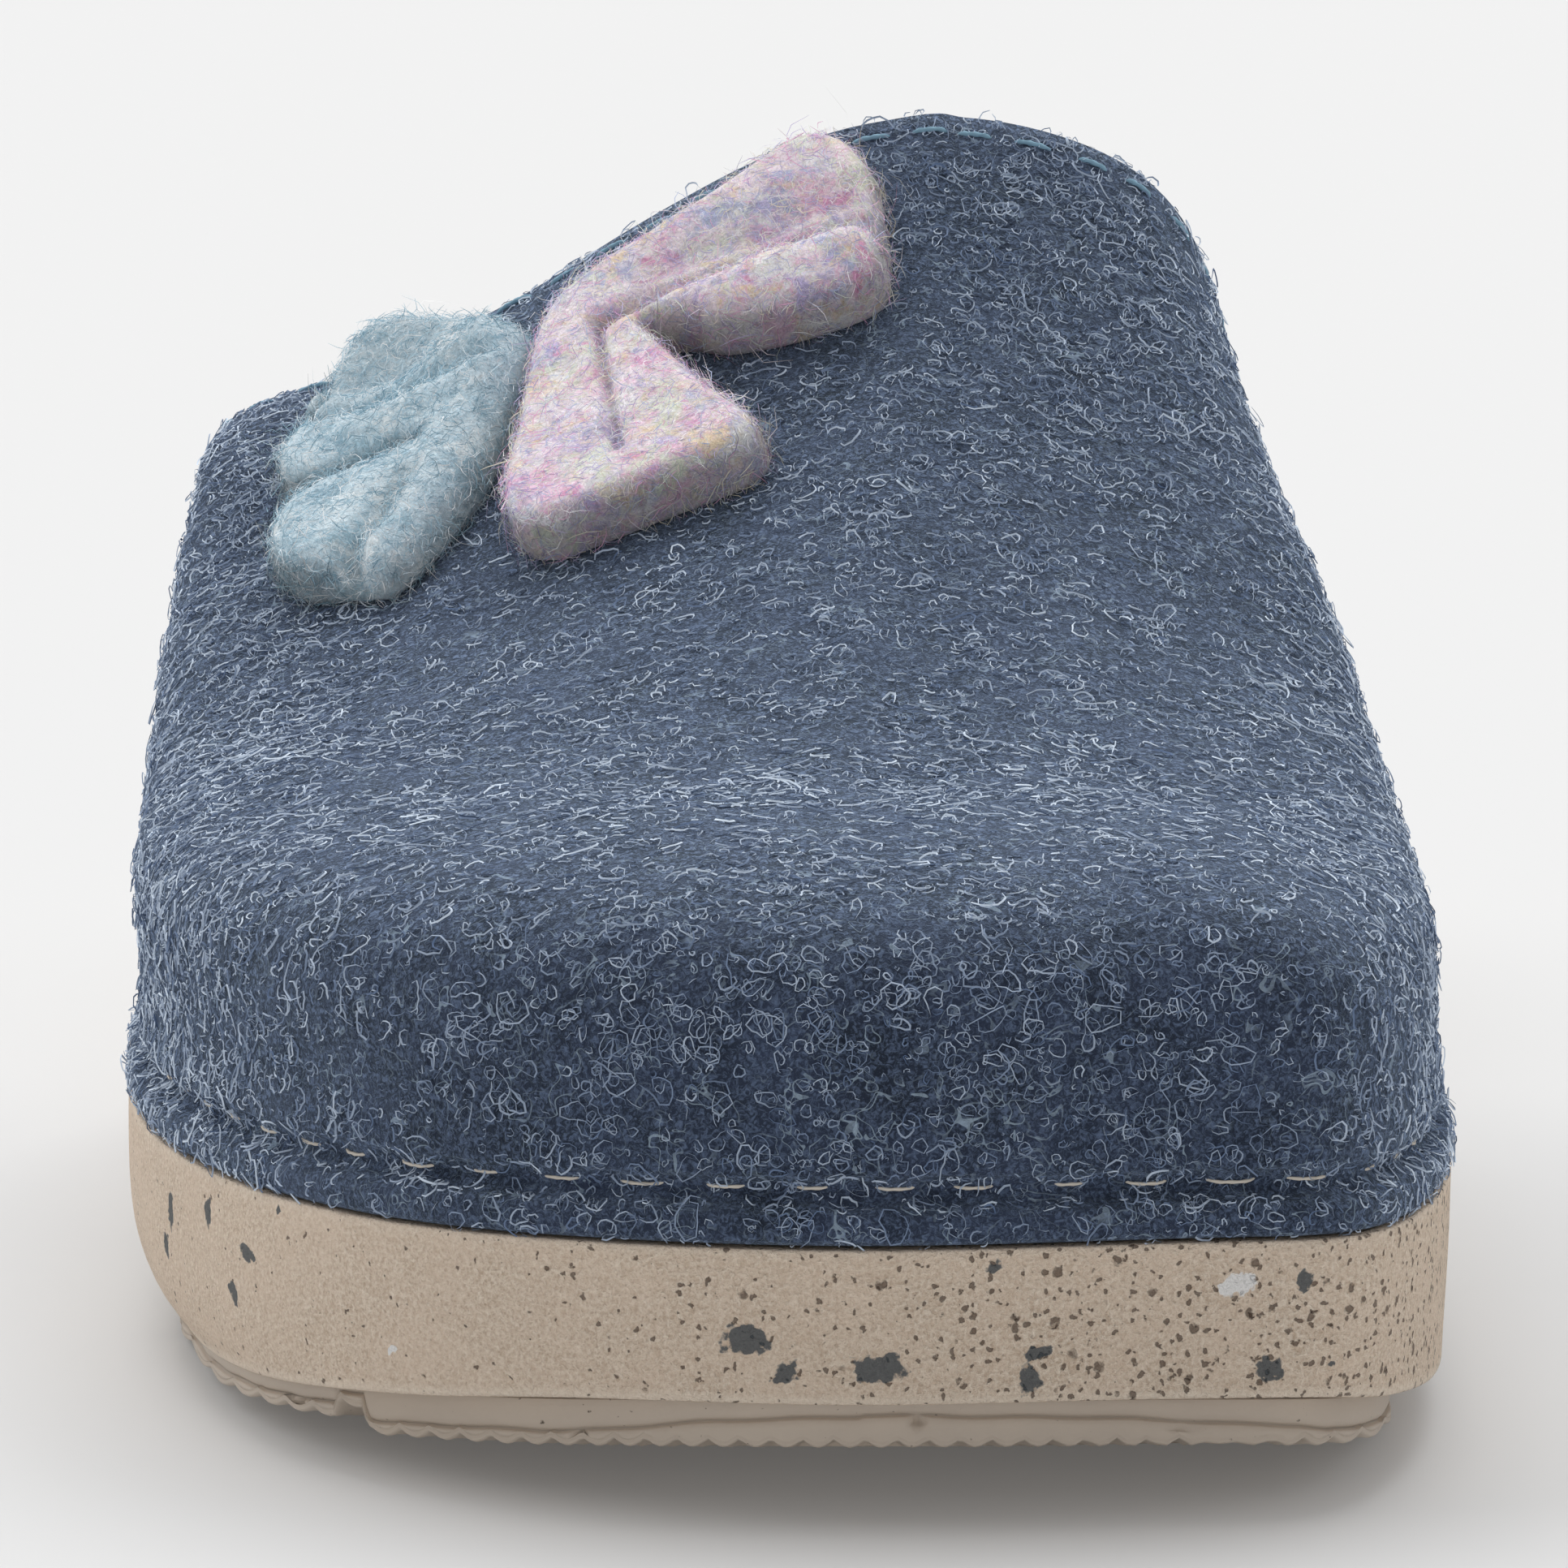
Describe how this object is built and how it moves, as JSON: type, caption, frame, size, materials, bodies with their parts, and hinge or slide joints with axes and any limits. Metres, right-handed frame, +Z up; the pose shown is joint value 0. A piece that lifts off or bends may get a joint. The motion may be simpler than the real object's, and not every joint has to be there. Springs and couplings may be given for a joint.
{
  "type": "mule slipper",
  "caption": "Open-backed felt mule slipper for the right foot, with a hollow moulded upper, sewn-on felt wings and a speckled foam sole over a lugged tread.",
  "frame": {"origin": "on the floor, under the middle of the shoe's box", "axes": "+Z up, +Y from the toe to the heel, +X to the big-toe side"},
  "size_m": [0.097, 0.256, 0.086],
  "materials": {
    "upper": "looped navy wool felt",
    "insole": "plain navy wool felt",
    "midsole": "ground beige foam with dark chips",
    "outsole": "matt moulded beige rubber",
    "applique_pink": "pink heather felt",
    "applique_teal": "teal felt"
  },
  "bodies": {
    "root": {"upper": "upper", "insole": "insole", "midsole": "midsole", "outsole": "outsole", "applique_pink": "applique_pink", "applique_teal": "applique_teal"}
  },
  "joints": []
}
